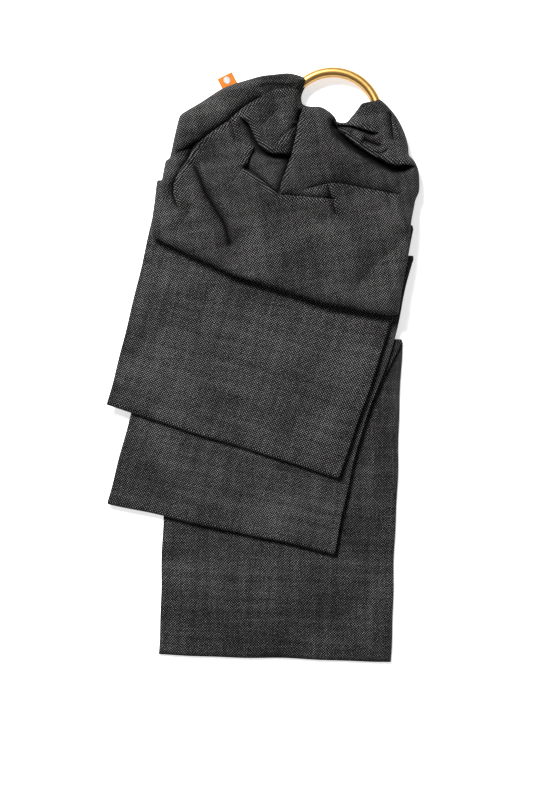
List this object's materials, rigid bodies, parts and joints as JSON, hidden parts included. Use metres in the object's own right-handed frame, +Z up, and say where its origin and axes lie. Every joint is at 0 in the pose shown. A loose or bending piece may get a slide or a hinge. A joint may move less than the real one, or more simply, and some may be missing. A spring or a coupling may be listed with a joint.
{
  "type": "ring sling baby carrier",
  "caption": "Folded ring sling: a long dark woven cloth in a zigzag stack of panels, its gathered shoulder threaded through a pair of smooth metal rings, with a small tag.",
  "frame": {"origin": "centre of the bounding box, on the floor", "axes": "+Z up from the floor the folded sling lies on, +Y along the strip towards the rings, +X to the right"},
  "size_m": [0.2868, 0.5438, 0.042],
  "materials": {
    "cloth": "charcoal birdseye twill, matt",
    "thread": "spun sewing thread",
    "ring": "gold anodised, satin",
    "tag": "woven ribbon"
  },
  "bodies": {
    "tail": {"tail_panel": "cloth", "tail_hem_stitches": "thread", "tail_side_stitches": "thread"},
    "panel_1": {"fold_panel_1": "cloth"},
    "panel_2": {"fold_panel_2": "cloth", "middle_side_stitches": "thread"},
    "panel_3": {"fold_panel_3": "cloth"},
    "panel_4": {"fold_panel_4": "cloth", "front_side_stitches": "thread"},
    "panel_5": {"fold_panel_5": "cloth"},
    "shoulder": {"shoulder_panel": "cloth", "channel_seam_row_1": "thread", "channel_seam_row_2": "thread"},
    "ring_end": {"ring_channel": "cloth"},
    "upper_ring": {"upper_ring": "ring"},
    "lower_ring": {"lower_ring": "ring"},
    "tag": {"woven_tag": "tag", "tag_stitches": "thread"}
  },
  "joints": [
    {"name": "fold_1_open", "type": "hinge", "parent": "tail", "child": "panel_1", "pos_m": [0.02167, 0.0316, 0.0038], "axis": [-0.9976, 0.0698, 0], "range_deg": [0, 150]},
    {"name": "fold_2_open", "type": "hinge", "parent": "panel_1", "child": "panel_2", "pos_m": [-0.03888, -0.14975, 0.0078], "axis": [0.9767, -0.2147, 0], "range_deg": [0, 165]},
    {"name": "fold_3_open", "type": "hinge", "parent": "panel_2", "child": "panel_3", "pos_m": [0.03427, 0.1239, 0.0118], "axis": [-0.9588, 0.284, 0], "range_deg": [0, 140]},
    {"name": "fold_4_open", "type": "hinge", "parent": "panel_3", "child": "panel_4", "pos_m": [-0.03663, -0.06955, 0.0158], "axis": [0.9542, -0.299, 0], "range_deg": [0, 165]},
    {"name": "fold_5_open", "type": "hinge", "parent": "panel_4", "child": "panel_5", "pos_m": [0.02102, 0.1473, 0.0198], "axis": [-0.9859, 0.1673, 0], "range_deg": [0, 110]},
    {"name": "fold_6_open", "type": "hinge", "parent": "panel_5", "child": "shoulder", "pos_m": [0.00707, 0.0706, 0.0238], "axis": [0.9532, -0.3024, 0], "range_deg": [0, 115]},
    {"name": "ring_end_lift", "type": "hinge", "parent": "shoulder", "child": "ring_end", "pos_m": [0.02827, 0.1693, 0.0292], "axis": [0.9859, -0.1673, 0], "range_deg": [0, 75]},
    {"name": "upper_ring_turn", "type": "hinge", "parent": "ring_end", "child": "upper_ring", "pos_m": [0.06407, 0.2258, 0.0168], "axis": [0, 0, 1], "continuous": true},
    {"name": "lower_ring_turn", "type": "hinge", "parent": "ring_end", "child": "lower_ring", "pos_m": [0.06407, 0.2258, 0.0084], "axis": [0, 0, 1], "continuous": true},
    {"name": "tag_bend", "type": "hinge", "parent": "ring_end", "child": "tag", "pos_m": [-0.0304, 0.25627, 0.0137], "axis": [0.9411, 0.338, 0], "range_deg": [-60, 60], "stiffness_Nm_per_rad": 0.001}
  ]
}
